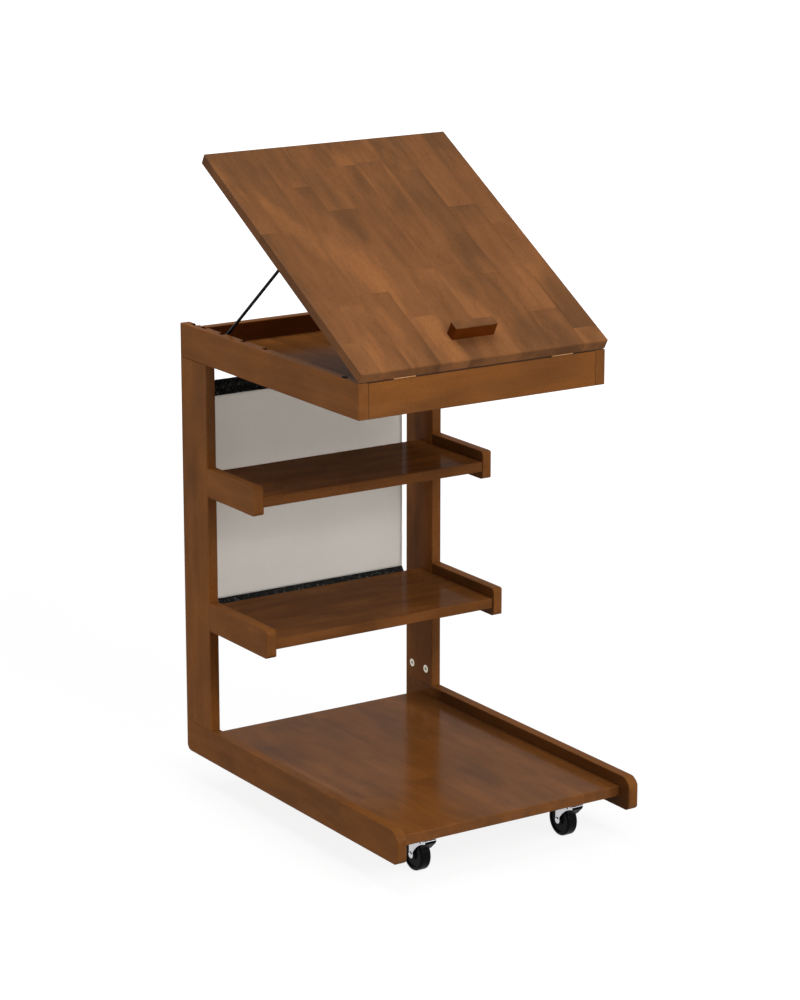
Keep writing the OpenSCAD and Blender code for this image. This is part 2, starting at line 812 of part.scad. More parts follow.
module fork_side() {
  difference() {
    translate([-hood_front, wheel_r + 3]) square([hood_front + trail + hood_rear, hood_top - wheel_r - 3]);
    translate([arc_y, arc_z]) circle(arc_r);
  }
  translate([trail - leg_half, wheel_r]) square([leg_half + hood_rear, hood_top - wheel_r]);
  translate([trail, wheel_r]) circle(leg_half + 0.5);
}

module caster_fork(brake) {
  low = wheel_r - leg_half - 0.5;
  length = hood_front + trail + leg_half + 0.5;
  difference() {
    union() {
      intersection() {
        translate([-fork_half, 0, 0]) rotate([90, 0, 90]) linear_extrude(2 * fork_half) fork_side();
        translate([-fork_half, -hood_front, low - over])
          board_blank([2 * fork_half, length, hood_top - low + over],
            [0, 0, hood_r, hood_r], [0, 0, hood_r, hood_r], [hood_nose, hood_nose, hood_r, hood_r]);
      }
      translate([0, 0, hood_top - 0.5]) cylinder(h = race_z - hood_top + 0.5, r = race_r);
    }
    translate([-fork_half + fork_t, -hood_front - over, 0])
      cube([2 * (fork_half - fork_t), length + 2 * over, hood_top - hood_t]);
    translate([0, 0, hood_top - hood_t - over]) cylinder(h = hood_t + 4, r = king_r + run_c);
    translate([0, trail, wheel_r]) rod_x(-fork_half - over, fork_half + over, axle_r + fit_c);
    if (brake) translate([0, pedal_y, pedal_z])
      rod_x(-fork_half - over, fork_half + over, pedal_pin_r + run_c);
  }
}

module caster_wheel() {
  translate([0, trail, wheel_r]) rotate([0, 90, 0]) rotate_extrude() {
    difference() {
      union() {
        translate([0, -wheel_half]) square([wheel_r - 3, 2 * wheel_half]);
        translate([wheel_r - 6, -wheel_half]) outline(6, 2 * wheel_half, [0, 3, 3, 0]);
        translate([0, -fork_half + fork_t + 0.2]) square([6, 2 * (fork_half - fork_t - 0.2)]);
      }
      translate([0, -fork_half]) square([axle_r + run_c, 2 * fork_half]);
      translate([8, wheel_half - 1.6]) square([wheel_r - 13, 2]);
      translate([8, -wheel_half - 0.4]) square([wheel_r - 13, 2]);
    }
  }
}

module caster_axle() {
  translate([0, trail, wheel_r]) {
    rod_x(-fork_half - 0.2, fork_half + 0.2, axle_r);
    for (s = [0, 1]) mirror([s, 0, 0]) translate([fork_half + 0.05, 0, 0]) rotate([0, 90, 0])
      cylinder(h = axle_head, r1 = axle_head_r, r2 = axle_head_r - 1.2);
  }
}

module brake_pedal() {
  tip = pedal_y - pedal_reach;
  low = pedal_z - pedal_drop;
  difference() {
    translate([-pedal_half, 0, 0]) rotate([90, 0, 90]) linear_extrude(2 * pedal_half) difference() {
      polygon([
        [pedal_y + 3.9, pedal_z + 2], [pedal_y - 3, pedal_z + 2], [tip + 0.4, pedal_z + 0.7],
        [tip, pedal_z - 0.2], [pedal_y + 1.5, low], [pedal_y + 3.9, low]
      ]);
      translate([trail, wheel_r]) circle(pedal_clear);
    }
  }
  translate([0, pedal_y, pedal_z]) rod_x(-fork_half, fork_half, pedal_pin_r);
}

module caster_at(i) { translate([casters[i].x, casters[i].y, 0]) children(); }

module front_left_caster_plate() color(ZINC) caster_at(0) caster_plate();
module front_left_caster_fork() color(ZINC) caster_at(0) caster_fork(true);
module front_left_caster_wheel() color(BLACK) caster_at(0) caster_wheel();
module front_left_caster_axle() color(ZINC) caster_at(0) caster_axle();
module front_left_brake_pedal() color(BLACK) caster_at(0) brake_pedal();
module front_right_caster_plate() color(ZINC) caster_at(1) caster_plate();
module front_right_caster_fork() color(ZINC) caster_at(1) caster_fork(true);
module front_right_caster_wheel() color(BLACK) caster_at(1) caster_wheel();
module front_right_caster_axle() color(ZINC) caster_at(1) caster_axle();
module front_right_brake_pedal() color(BLACK) caster_at(1) brake_pedal();
module rear_left_caster_plate() color(ZINC) caster_at(2) caster_plate();
module rear_left_caster_fork() color(ZINC) caster_at(2) caster_fork(false);
module rear_left_caster_wheel() color(BLACK) caster_at(2) caster_wheel();
module rear_left_caster_axle() color(ZINC) caster_at(2) caster_axle();
module rear_right_caster_plate() color(ZINC) caster_at(3) caster_plate();
module rear_right_caster_fork() color(ZINC) caster_at(3) caster_fork(false);
module rear_right_caster_wheel() color(BLACK) caster_at(3) caster_wheel();
module rear_right_caster_axle() color(ZINC) caster_at(3) caster_axle();

module caster_screws() color(ZINC) {
  for (i = [0 : 3]) caster_at(i) screw_sites() {
    translate([0, 0, plate_z - caster_head_h]) cylinder(h = caster_head_h, r = caster_head_r);
    translate([0, 0, plate_z - 0.2])
      cylinder(h = caster_height - plate_z + 0.2 + caster_screw_len, r = caster_screw_r);
  }
}

// joint fittings
module post_cam_locks() color(ZINC) both() post_cam_sites() cam_lock(board);

module panel_cam_locks() color(ZINC) both() {
  panel_cam_sites() cam_lock(panel);
  tray_cam_sites() cam_lock(board);
}

module cam_bolts() color(ZINC) both() {
  post_cam_sites() cam_bolt(board);
  panel_cam_sites() cam_bolt(panel);
  tray_cam_sites() cam_bolt(board);
}

module dowels() color(PINE) both() {
  post_dowel_sites() dowel(board);
  shelf_dowel_sites() dowel(board);
  tray_dowel_sites() dowel(board);
}

left_base_rail();
right_base_rail();
left_post();
right_post();
left_tray_rail();
right_tray_rail();
left_upper_shelf_rail();
right_upper_shelf_rail();
left_lower_shelf_rail();
right_lower_shelf_rail();
base_panel();
lower_shelf_panel();
upper_shelf_panel();
tray_front_rail();
tray_rear_rail();
tray_bottom_panel();
lid_panel();
book_ledge();
book_ledge_screws();
left_hinge_frame_leaf();
right_hinge_frame_leaf();
left_hinge_lid_leaf();
right_hinge_lid_leaf();
hinge_pins();
hinge_frame_screws();
hinge_lid_screws();
prop_wire();
prop_clips();
prop_clip_screws();
lid_bumpers();
fabric_panel();
fabric_upper_band();
fabric_lower_band();
fabric_rod();
front_left_caster_plate();
front_left_caster_fork();
front_left_caster_wheel();
front_left_caster_axle();
front_left_brake_pedal();
front_right_caster_plate();
front_right_caster_fork();
front_right_caster_wheel();
front_right_caster_axle();
front_right_brake_pedal();
rear_left_caster_plate();
rear_left_caster_fork();
rear_left_caster_wheel();
rear_left_caster_axle();
rear_right_caster_plate();
rear_right_caster_fork();
rear_right_caster_wheel();
rear_right_caster_axle();
caster_screws();
post_cam_locks();
panel_cam_locks();
cam_bolts();
dowels();
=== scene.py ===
"""Looks of the C-shaped end table: camera, light, the wood's stain and lacquer, the metal and plastic
finishes, and the hanging cloth with its two hook-and-loop strips."""
import json
import math
import random

import bmesh
import bpy
from mathutils import Matrix, Vector


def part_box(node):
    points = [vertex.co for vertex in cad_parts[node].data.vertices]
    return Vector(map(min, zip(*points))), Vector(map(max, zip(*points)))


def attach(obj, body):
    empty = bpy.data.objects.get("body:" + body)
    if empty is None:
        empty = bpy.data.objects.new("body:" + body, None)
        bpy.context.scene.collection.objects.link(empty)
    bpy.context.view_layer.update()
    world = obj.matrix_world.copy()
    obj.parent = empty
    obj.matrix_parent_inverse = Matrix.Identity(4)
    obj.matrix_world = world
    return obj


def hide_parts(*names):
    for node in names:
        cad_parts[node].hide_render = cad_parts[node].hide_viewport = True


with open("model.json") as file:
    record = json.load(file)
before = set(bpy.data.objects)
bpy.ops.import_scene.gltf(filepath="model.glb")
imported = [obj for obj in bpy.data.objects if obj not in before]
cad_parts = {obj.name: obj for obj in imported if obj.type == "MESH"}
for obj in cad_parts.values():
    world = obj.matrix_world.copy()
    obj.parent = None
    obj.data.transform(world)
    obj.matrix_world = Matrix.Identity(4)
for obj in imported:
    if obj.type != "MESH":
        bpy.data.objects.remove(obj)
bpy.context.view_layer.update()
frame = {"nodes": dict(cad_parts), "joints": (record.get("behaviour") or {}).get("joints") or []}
nodes = frame["nodes"]
scene = bpy.context.scene
scene.view_settings.view_transform = "Standard"


# Places in metres, read from the frame

def corners(node):
    """Lowest and highest corner of a CAD node, to a hundredth of a millimetre."""
    return [[round(c, 5) for c in corner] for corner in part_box(node)]


def middle(low, high, axis):
    return round((low[axis] + high[axis]) / 2, 5)


lid_hinge = next(joint for joint in frame["joints"] if joint["name"] == "lid_hinge")
LID_ANGLE = math.radians(-lid_hinge["range_deg"][0])  # how far the lid stands open at rest
HINGE = Vector(lid_hinge["pos_m"])
CLOSING = Matrix.Rotation(-LID_ANGLE, 3, "X")  # turns the lid from rest to closed

INNER, POST_FRONT, POST_FOOT = corners("right_post")[0]  # INNER is the inner face of the rails too
RAIL_TOP = corners("right_tray_rail")[1][2]
SHELF_UNDER = corners("lower_shelf_panel")[0][2]
LEDGE_TOP = round(max((CLOSING @ (v.co - HINGE) + HINGE).z for v in nodes["book_ledge"].data.vertices), 5)
NOTCH_WIDTH, NOTCH_DEPTH = 0.008, 0.005  # of the side rails' prop notches, as the CAD part has them

cloth_box, rod_box = corners("fabric_panel"), corners("fabric_rod")
CLOTH_Y = middle(*cloth_box, 1)
CLOTH_LOW, CLOTH_HIGH = cloth_box[0][2], cloth_box[1][2]
CLOTH_HALF = cloth_box[1][0]
ROD_Z = middle(*rod_box, 2)
ROD_RADIUS = rod_box[1][2] - ROD_Z


# Shader maths

class Value:
    """A number or vector in a finish, on which Python's operators add Math nodes."""

    def __init__(self, finish, socket):
        self.finish, self.socket = finish, socket

    def math(self, operation, *terms):
        return self.finish.node("Math", {"operation": operation}, dict(enumerate(terms)))

    def __add__(self, other):
        return self.math("ADD", self, other)

    def __sub__(self, other):
        return self.math("SUBTRACT", self, other)

    def __rsub__(self, other):
        return self.math("SUBTRACT", other, self)

    def __mul__(self, other):
        return self.math("MULTIPLY", self, other)

    def __truediv__(self, other):
        return self.math("DIVIDE", self, other)

    __radd__, __rmul__ = __add__, __mul__

    def __abs__(self):
        return self.math("ABSOLUTE", self)

    def floor(self):
        return self.math("FLOOR", self)

    def fract(self):
        return self.math("FRACT", self)

    def larger(self, other):
        return self.math("MAXIMUM", self, other)

    def rise(self, start, end, low=0.0, high=1.0):
        """Smooth step from low at start to high at end."""
        return self.finish.node(
            "MapRange", {"interpolation_type": "SMOOTHSTEP"},
            {"Value": self, "From Min": start, "From Max": end, "To Min": low, "To Max": high})

    def fall(self, start, end):
        """Smooth step from 1 at start to 0 at end."""
        return self.rise(start, end, 1.0, 0.0)


class Finish:
    """The nodes of one material, or of the world."""

    def __init__(self, owner):
        owner.use_nodes = True
        self.tree = owner.node_tree
        self.tree.nodes.clear()

    def node(self, kind, settings=None, inputs=None, output=0):
        """Adds a node with its settings, a ramp's stops among them, and its inputs; gives one output."""
        made = self.tree.nodes.new("ShaderNode" + kind)
        for key, setting in (settings or {}).items():
            if key == "stops":
                elements = made.color_ramp.elements
                while len(elements) < len(setting):
                    elements.new(0.5)
                for element, (place, colour) in zip(elements, setting):
                    element.position, element.color = place, colour
            else:
                setattr(made, key, setting)
        for key, given in (inputs or {}).items():
            if isinstance(given, Value):
                self.tree.links.new(given.socket, made.inputs[key])
            else:
                made.inputs[key].default_value = given
        return Value(self, made.outputs[output]) if made.outputs else None

    def place(self):
        """Object coordinates, which are the table's own."""
        return self.node("TexCoord", output="Object")

    def lid_place(self):
        """Object coordinates of a point on the lid, turned to where it is with the lid closed."""
        return self.node("Mapping", None, {
            "Vector": self.place(), "Rotation": (-LID_ANGLE, 0, 0), "Location": HINGE - CLOSING @ HINGE})

    def parts(self, vector):
        """x, y and z of a vector."""
        split = self.node("SeparateXYZ", None, {0: vector}).socket.node
        return [Value(self, socket) for socket in split.outputs]

    def vector(self, x, y, z):
        return self.node("CombineXYZ", None, {0: x, 1: y, 2: z})

    def noise(self, x, y, z, detail=2.0, rough=0.5):
        """Soft noise from 0 to 1, in lumps about 1 wide in x, y and z."""
        return self.node("TexNoise", None, {
            "Vector": self.vector(x, y, z), "Scale": 1.0, "Detail": detail, "Roughness": rough})

    def scatter(self, at, dimensions="3D"):
        """A random value from 0 to 1 for each vector, or for each number where dimensions is 1D."""
        socket = "W" if dimensions == "1D" else "Vector"
        return self.node("TexWhiteNoise", {"noise_dimensions": dimensions}, {socket: at})

    def blend(self, factor, first, second):
        return self.node("Mix", {"data_type": "RGBA"}, {0: factor, 6: first, 7: second}, 2)

    def ramp(self, factor, stops):
        return self.node("ValToRGB", {"stops": stops}, {0: factor})

    def mixed(self, factor, first, second):
        """Two shaders mixed."""
        return self.node("MixShader", None, {0: factor, 1: first, 2: second})

    def bump(self, height, distance, strength):
        return self.node("Bump", None, {"Height": height, "Distance": distance, "Strength": strength})

    def surface(self, **inputs):
        """Ends the material with a Principled shader; keys are its sockets' names with _ for a space."""
        shader = self.node("BsdfPrincipled", None, {k.replace("_", " "): v for k, v in inputs.items()})
        self.node("OutputMaterial", None, {"Surface": shader})


def material(name):
    made = bpy.data.materials.new(name)
    return made, Finish(made)


def paint(red, green, blue):
    """Screen colour, 0 to 255, as the linear colour that shaders take."""
    def linear(c):
        c /= 255
        return c / 12.92 if c <= 0.04045 else ((c + 0.055) / 1.055) ** 2.4
    return (linear(red), linear(green), linear(blue), 1.0)


WHITE = (1.0, 1.0, 1.0, 1.0)


# Wood

STAIN = [
    (0.0, paint(80, 47, 22)), (0.3, paint(107, 65, 31)), (0.55, paint(131, 80, 37)),
    (0.8, paint(149, 91, 40)), (1.0, paint(168, 105, 48))]
TOP_STAIN = [
    (0.0, paint(78, 54, 34)), (0.3, paint(102, 67, 40)), (0.55, paint(124, 80, 47)),
    (0.8, paint(143, 95, 56)), (1.0, paint(162, 110, 67))]
# painted shade: the book ledge's faces other than its top, darker and redder than the lid's stain
SHADED_LEDGE_STAIN = [(0.0, paint(66, 30, 7)), (0.5, paint(104, 50, 12)), (1.0, paint(140, 72, 20))]
DULL_BROWN = paint(84, 56, 34)  # of the wood's darker patches
AMBER = paint(162, 104, 58)  # of its brighter ones
PORE_BROWN = paint(60, 38, 22)  # of pores and glue lines
STAIN_AND_SHADE_BROWN = paint(38, 22, 12)  # of stain in joints, and of painted shade in notches, corners and under the lid


def lacquered(f, colour, roughness, height, gloss=0.09):
    """Ends a wood under satin lacquer, whose coat alone reflects."""
    f.surface(
        Base_Color=colour, Roughness=roughness, Coat_Weight=gloss, Coat_Roughness=0.17,
        Specular_IOR_Level=0.0, Normal=f.bump(height, 0.00012, 0.5))


def glued_staves(f, u, v, stave, seed):
    """A random value for each stave of a glued panel, and 1 on the glue lines between them."""
    width, length = stave
    across = v / width + seed
    row = across.floor()
    along = u / length + f.scatter(row * 1.31 + seed, "1D") * 5.0
    block = f.scatter(f.vector(row, along.floor(), seed))
    side = abs(across.fract() - 0.5).rise(0.488, 0.5)
    end = abs(along.fract() - 0.5).rise(0.4985, 0.5)
    return block, side.larger(end)


def stained_wood(
        name, grain, face, seed, stave=None, stain=STAIN, tone=0.0, contrast=0.06, gloss=0.09,
        dull_patches=0.25, bright_patches=0.2, stain_and_shade=None, on_lid=False):
    """Walnut-stained rubberwood. grain and face are the axes along the grain and across it. stave is the
    width and length of a glued panel's staves, or None for a board. A given mask darkens the wood: stain in
    joints, painted shade elsewhere."""
    made, f = material(name)
    axes = f.parts(f.lid_place() if on_lid else f.place())
    u, v, w = axes[grain], axes[face], axes[3 - grain - face]
    shade = 0.5 + tone
    start = seed * 3.7
    if stave:
        block, joint = glued_staves(f, u, v, stave, seed)
        shade = shade + (block - 0.5) * contrast
        start = block * 11.0 + start
    if on_lid:
        shade = shade - (u + 0.02) * 0.55  # painted light: paler towards the hinges
    drift = start * 0.5 if on_lid else seed

    streak = f.noise(u * 3.0 + start, v * 55.0, w * 55.0, 3.0, 0.55)
    blotch = f.noise(u * 9.0, v * 20.0 + start, w * 20.0)
    grain_line = f.noise(u * 16.0, v * 420.0, w * 420.0 + start, 2.0, 0.6)
    pore = f.noise(u * 190.0 + start, v * 1500.0, w * 1500.0, 0.0).rise(0.66, 0.74)
    dull_patch = f.noise(u * 4.0 + drift, v * 12.0, w * 12.0 + 3.1, 3.0, 0.55).rise(0.48, 0.64)
    bright_patch = f.noise(u * 7.0 + drift, v * 20.0 + 7.3, w * 20.0, 3.0, 0.55).rise(0.5, 0.7)

    shade = shade + (streak - 0.5) * 0.3 + (blotch - 0.5) * 0.5 + (grain_line - 0.5) * 0.16
    colour = f.ramp(shade, stain)
    colour = f.blend(dull_patch * dull_patches, colour, DULL_BROWN)
    colour = f.blend(bright_patch * bright_patches, colour, AMBER)
    colour = f.blend(pore * 0.35, colour, PORE_BROWN)
    if stave:
        colour = f.blend(joint * (contrast * 1.5), colour, PORE_BROWN)
    # a given mask darkens the wood: stain in the front rail's joints, painted shade everywhere else
    if stain_and_shade:
        colour = f.blend(stain_and_shade(*axes), colour, STAIN_AND_SHADE_BROWN)
    roughness = 0.36 + (grain_line - 0.5) * 0.16 + (blotch - 0.5) * 0.1
    lacquered(f, colour, roughness, grain_line * 0.5 - pore * 0.8, gloss)
    return made


def notch_shade(x, y, z):
    """Painted shade: 1 on the scooped faces of a side rail's prop notches."""
    outer, floor = INNER + NOTCH_WIDTH, RAIL_TOP - NOTCH_DEPTH
    across = abs(x).rise(INNER + 0.0001, INNER + 0.0004) * abs(x).fall(outer + 0.0003, outer + 0.0006)
    upright = z.fall(RAIL_TOP - 0.0011, RAIL_TOP - 0.0003) * z.rise(floor - 0.001, floor - 0.0005)
    return across * upright * y.rise(-0.17, -0.16)


def joints_and_lid_shadow(x, y, z):
    """1 on the front rail's joints with the side rails, where stain sits, and 0.7 on its top edge as painted
    shadow of the gap under the lid.
    """
    # painted shadow along the rail's top edge, under the lid's front edge
    lid_gap_shadow = z.rise(RAIL_TOP - 0.0013, RAIL_TOP - 0.0007)
    return abs(x).rise(INNER - 0.0009, INNER - 0.0004).larger(lid_gap_shadow * 0.7)


def inner_face_shade(x, y, z):
    """Painted shade, half dark, on the inner faces of base and shelf rails above the panels."""
    before_post = y.fall(POST_FRONT - 0.033, POST_FRONT - 0.001)
    above_base = z.rise(POST_FOOT + 0.01, POST_FOOT + 0.02)
    return abs(x).fall(INNER + 0.0001, INNER + 0.0005) * 0.5 * before_post.larger(above_base)


def right_rail_shade(x, y, z):
    """Painted shadow and reflection of the right rail: darker towards the base panel's right edge, most of
    all at the rear.
    """
    return x.rise(0.11, INNER - 0.0005) * y.rise(-0.25, 0.2, 0.25, 0.6)


def ledge_wood():
    """Wood of the book ledge: the lid's stain on its top face, and painted shade on the others, in darker,
    redder browns.
    """
    made, f = material("book_ledge_wood")
    x, y, z = f.parts(f.lid_place())
    grain_line = f.noise(x * 16.0, y * 420.0, z * 420.0, 2.0, 0.6)
    blotch = f.noise(x * 30.0, y * 60.0, z * 60.0, 3.0, 0.6)
    shade = 0.36 + (grain_line - 0.5) * 0.2 + (blotch - 0.5) * 0.7
    top = z.rise(LEDGE_TOP - 0.0014, LEDGE_TOP - 0.0008)
    colour = f.blend(top, f.ramp(shade, SHADED_LEDGE_STAIN), f.ramp(shade, TOP_STAIN))
    lacquered(f, colour, 0.38 + (blotch - 0.5) * 0.16, grain_line)
    return made


# Metal, plastic and fabric

CLOTH_GREYS = [(0.0, paint(230, 226, 221)), (0.5, paint(241, 238, 233)), (1.0, paint(247, 245, 241))]


def steel(name, colour, rough, spread, streak=(40.0, 40.0, 400.0)):
    """Plated steel: faint drawing lines and soft cloudy patches."""
    made, f = material(name)
    x, y, z = f.parts(f.place())
    line = f.noise(x * streak[0], y * streak[1], z * streak[2], 3.0, 0.6)
    cloud = f.noise(x * 60.0, y * 60.0, z * 60.0)
    darker = tuple(c * 0.82 for c in colour[:3]) + (1.0,)
    f.surface(
        Base_Color=f.blend(cloud, colour, darker), Metallic=1.0,
        Roughness=rough + (line - 0.5) * spread + (cloud - 0.5) * spread, Normal=f.bump(line, 0.00004, 0.4))
    return made


def cam_with_slots():
    """Zinc of the cam locks in the posts, with painted shade in the slots, which lie behind the posts' inner
    faces: near black there and not metal.
    """
    made, f = material("slotted_cam_zinc")
    x, y, z = f.parts(f.place())
    cloud = f.noise(x * 60.0, y * 300.0, z * 300.0)
    # painted shade in the slots behind the posts' inner faces
    slot = abs(x).rise(INNER + 0.0001, INNER + 0.00025)
    zinc = f.blend(cloud, paint(214, 208, 194), paint(176, 168, 150))
    f.surface(
        Base_Color=f.blend(slot, zinc, paint(26, 22, 18)), Metallic=1.0 - slot,
        Roughness=0.34 + (cloud - 0.5) * 0.16)
    return made


def moulded(name, colour, rough, grit=900.0, depth=0.00006):
    """Moulded plastic or rubber with a fine matt skin."""
    made, f = material(name)
    x, y, z = f.parts(f.place())
    skin = f.noise(x * grit, y * grit, z * grit)
    cloud = f.noise(x * 35.0, y * 35.0, z * 35.0, 3.0, 0.6)
    paler = tuple(min(1.0, c * 1.6 + 0.001) for c in colour[:3]) + (1.0,)
    f.surface(
        Base_Color=f.blend(cloud * 0.5, colour, paler), Roughness=rough + (cloud - 0.5) * 0.18,
        Specular_IOR_Level=0.045, Normal=f.bump(skin, depth, 0.3))
    return made


def grey_cloth():
    """Plain-woven polyester, a little uneven, that lets some light through."""
    threads = 1 / 0.00055  # in a metre
    made, f = material("grey_cloth")
    x, y, z = f.parts(f.place())
    waver = f.noise(x * 30.0, y * 30.0, z * 30.0)
    warp = 1.0 - abs((x * threads + waver).fract() - 0.5) * 2.0
    weft = 1.0 - abs((z * threads + waver).fract() - 0.5) * 2.0
    over = ((x * (0.5 * threads)).fract() - 0.5) * ((z * (0.5 * threads)).fract() - 0.5)
    weave = f.node("Mix", {"data_type": "FLOAT"}, {0: over.rise(-0.02, 0.02), 2: warp, 3: weft})
    slub = f.noise(x * 700.0, y * 40.0, z * 14.0, 2.0, 0.6)
    slub_across = f.noise(x * 14.0, y * 40.0, z * 700.0, 2.0, 0.6)
    cloud = f.noise(x * 7.0, y * 7.0, z * 7.0)
    tone = 0.5 + (slub - 0.5) * 0.25 + (slub_across - 0.5) * 0.25 + (cloud - 0.5) * 0.5
    tone = tone + (weave - 0.5) * 0.15
    colour = f.ramp(tone, CLOTH_GREYS)
    front = f.node("BsdfPrincipled", None, {
        "Base Color": colour, "Roughness": 0.85 + (weave - 0.5) * 0.1, "Specular IOR Level": 0.05,
        "Normal": f.bump(weave, 0.0001, 0.4)})
    through = f.node("BsdfTranslucent", None, {"Color": colour})
    f.node("OutputMaterial", None, {"Surface": f.mixed(0.4, front, through)})
    return made


def napped_strip():
    """Loop side of a hook-and-loop strip: black matted nap with lighter fibre tips."""
    made, f = material("napped_black_strip")
    x, y, z = f.parts(f.place())
    nap = f.noise(x * 900.0, y * 900.0, z * 900.0, 3.0, 0.65)
    tuft = f.noise(x * 260.0, y * 260.0, z * 260.0, 2.0, 0.6)
    lint = (nap * tuft).rise(0.29, 0.4)
    f.surface(
        Base_Color=f.blend(lint, paint(22, 23, 23), paint(112, 114, 108)), Roughness=0.95, Sheen_Weight=0.2,
        Sheen_Roughness=0.5, Specular_IOR_Level=0.05, Normal=f.bump(nap + tuft, 0.0009, 0.9))
    return made


ZINC = steel("zinc_plated_steel", paint(214, 214, 218), 0.26, 0.14)
BLACK_PLASTIC = moulded("black_plastic", paint(9, 9, 10), 0.42)


# Camera, light and floor

TABLE_MIDDLE = Vector((0.0, 0.0, 0.45))
SOFTBOXES = {  # place, width and height in metres, power in watts
    "overhead_softbox": ((-0.2, 0.5, 3.0), (2.2, 2.2), 50.0),
    "high_front_softbox": ((0.3, -2.6, 2.6), (2.0, 1.6), 48.0),
    "mid_front_softbox": ((0.6, -3.0, 1.7), (2.0, 1.6), 32.0),
    "high_left_softbox": ((-2.6, -0.3, 2.4), (2.0, 1.6), 7.0),
    "low_left_softbox": ((-3.2, 0.3, 0.4), (2.0, 1.6), 29.0),
    "right_softbox": ((2.8, 0.6, 1.9), (2.0, 1.6), 8.0),
    "back_softbox": ((0.2, 3.2, 1.3), (2.0, 1.6), 13.0),
}


def stand(name, data, place, aim):
    """Puts a camera or lamp at place, looking along aim."""
    made = bpy.data.objects.new(name, data)
    made.matrix_world = Matrix.Translation(place) @ aim.to_track_quat("-Z", "Y").to_matrix().to_4x4()
    scene.collection.objects.link(made)
    return made


def camera():
    """The photo's camera, fitted to the table's edges in the photo."""
    place = (-2.4042, -3.6731, 1.6211)
    data = bpy.data.cameras.new("camera")
    data.sensor_width, data.lens = 36.0, 116.70
    yaw, pitch = math.radians(33.08), math.radians(14.87)
    aim = Vector((math.sin(yaw) * math.cos(pitch), math.cos(yaw) * math.cos(pitch), -math.sin(pitch)))
    scene.camera = stand("camera", data, place, aim)


def lamps():
    for name, (place, size, power) in SOFTBOXES.items():
        data = bpy.data.lights.new(name, "AREA")
        data.shape, data.energy = "RECTANGLE", power
        data.size, data.size_y = size
        stand(name, data, place, TABLE_MIDDLE - Vector(place))


def seen_rays(f):
    """1 for rays from the camera, and for those that mirrors and glass send on."""
    from_camera, from_gloss, from_glass = [
        f.node("LightPath", output="Is " + ray + " Ray") for ray in ("Camera", "Glossy", "Transmission")]
    return from_camera.larger(from_gloss).larger(from_glass)


def room():
    """The world: dim on the table, white where it is seen."""
    scene.world = bpy.data.worlds.new("studio")
    f = Finish(scene.world)
    dim = f.node("Background", None, {"Color": WHITE, "Strength": 0.1})
    bright = f.node("Background", None, {"Color": WHITE, "Strength": 1.0})
    f.node("OutputWorld", None, {"Surface": f.mixed(seen_rays(f), dim, bright)})


def pale_floor():
    """Grey to the light and white where it is seen, less so near the table, whose shadow shows there."""
    made, f = material("pale_floor")
    matt = f.node("BsdfDiffuse", None, {"Color": paint(190, 190, 190)})
    lift = f.node("Emission", None, {"Color": WHITE, "Strength": 1.25})
    x, y, _ = f.parts(f.place())
    far = (x * x + y * y).rise(1.5, 9.0, 0.7, 1.0)
    f.node("OutputMaterial", None, {"Surface": f.mixed(seen_rays(f) * far, matt, lift)})
    return made


def lay_floor():
    """The floor, a hair below the wheels."""
    bm = bmesh.new()
    bmesh.ops.create_grid(bm, x_segments=4, y_segments=4, size=12.0)
    bmesh.ops.translate(bm, verts=bm.verts, vec=(0.0, 0.0, -0.0002))
    piece(bm, "floor", pale_floor())


# Pieces

def piece(bm, name, finish, smooth=False):
    """Ends a bmesh as an object."""
    bmesh.ops.remove_doubles(bm, verts=bm.verts, dist=1e-7)
    bmesh.ops.recalc_face_normals(bm, faces=bm.faces)
    mesh = bpy.data.meshes.new(name)
    bm.to_mesh(mesh)
    bm.free()
    for face in mesh.polygons:
        face.use_smooth = smooth
    mesh.materials.append(finish)
    made = bpy.data.objects.new(name, mesh)
    scene.collection.objects.link(made)
    return made


def fabric(bm, name, finish, thickness):
    """Ends a bmesh as a piece of fabric that hangs on the frame, thick to both sides of its faces."""
    made = piece(bm, name, finish, smooth=True)
    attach(made, "frame")
    wall = made.modifiers.new("wall", "SOLIDIFY")
    wall.thickness, wall.offset = thickness, 0.0
    return made


CLOTH_WALL, CLOTH_ROWS = 0.0009, 84
HEM_WIDTH, HEM_WALL, HEM_EASE = 0.004, 0.0016, 0.0005
HEM_SIDE_INSET, HEM_END_INSET = 0.0001, 0.0004  # from the cloth's edges
STRIP_WALL = 0.0011
STRIP_GAP = 0.0003  # between the cloth's edges and the strips


def cloth_wave(x, z):
    """How far the hanging cloth stands off its plane: slack in the middle, held flat at the two strips."""
    held = math.sin(math.pi * (z - CLOTH_LOW) / (CLOTH_HIGH - CLOTH_LOW))
    return 0.0009 * held * math.sin(34.0 * x + 0.7) + 0.0006 * held * math.sin(13.0 * x - 9.0 * z)


def waved_cloth(name, finish, thickness, columns, start, end, inset=0.0):
    """The cloth from start to end in width, and whole in height but for the inset at both ends."""
    low, high = CLOTH_LOW + inset, CLOTH_HIGH - inset
    bm = bmesh.new()
    bmesh.ops.create_grid(bm, x_segments=columns, y_segments=CLOTH_ROWS, size=0.5)
    for vert in bm.verts:
        x = start + (vert.co.x + 0.5) * (end - start)
        z = low + (vert.co.y + 0.5) * (high - low)
        vert.co = (x, CLOTH_Y + cloth_wave(x, z), z)
    return fabric(bm, name, finish, thickness)


def hem(name, side, finish):
    """The doubled edge down one side of the cloth; side is -1 on the left and 1 on the right."""
    outer = CLOTH_HALF - HEM_SIDE_INSET
    made = waved_cloth(name, finish, HEM_WALL, 6, side * outer, side * (outer - HEM_WIDTH), HEM_END_INSET)
    soft = made.modifiers.new("fold", "BEVEL")
    soft.width, soft.segments, soft.limit_method = HEM_EASE, 2, "ANGLE"
    return made


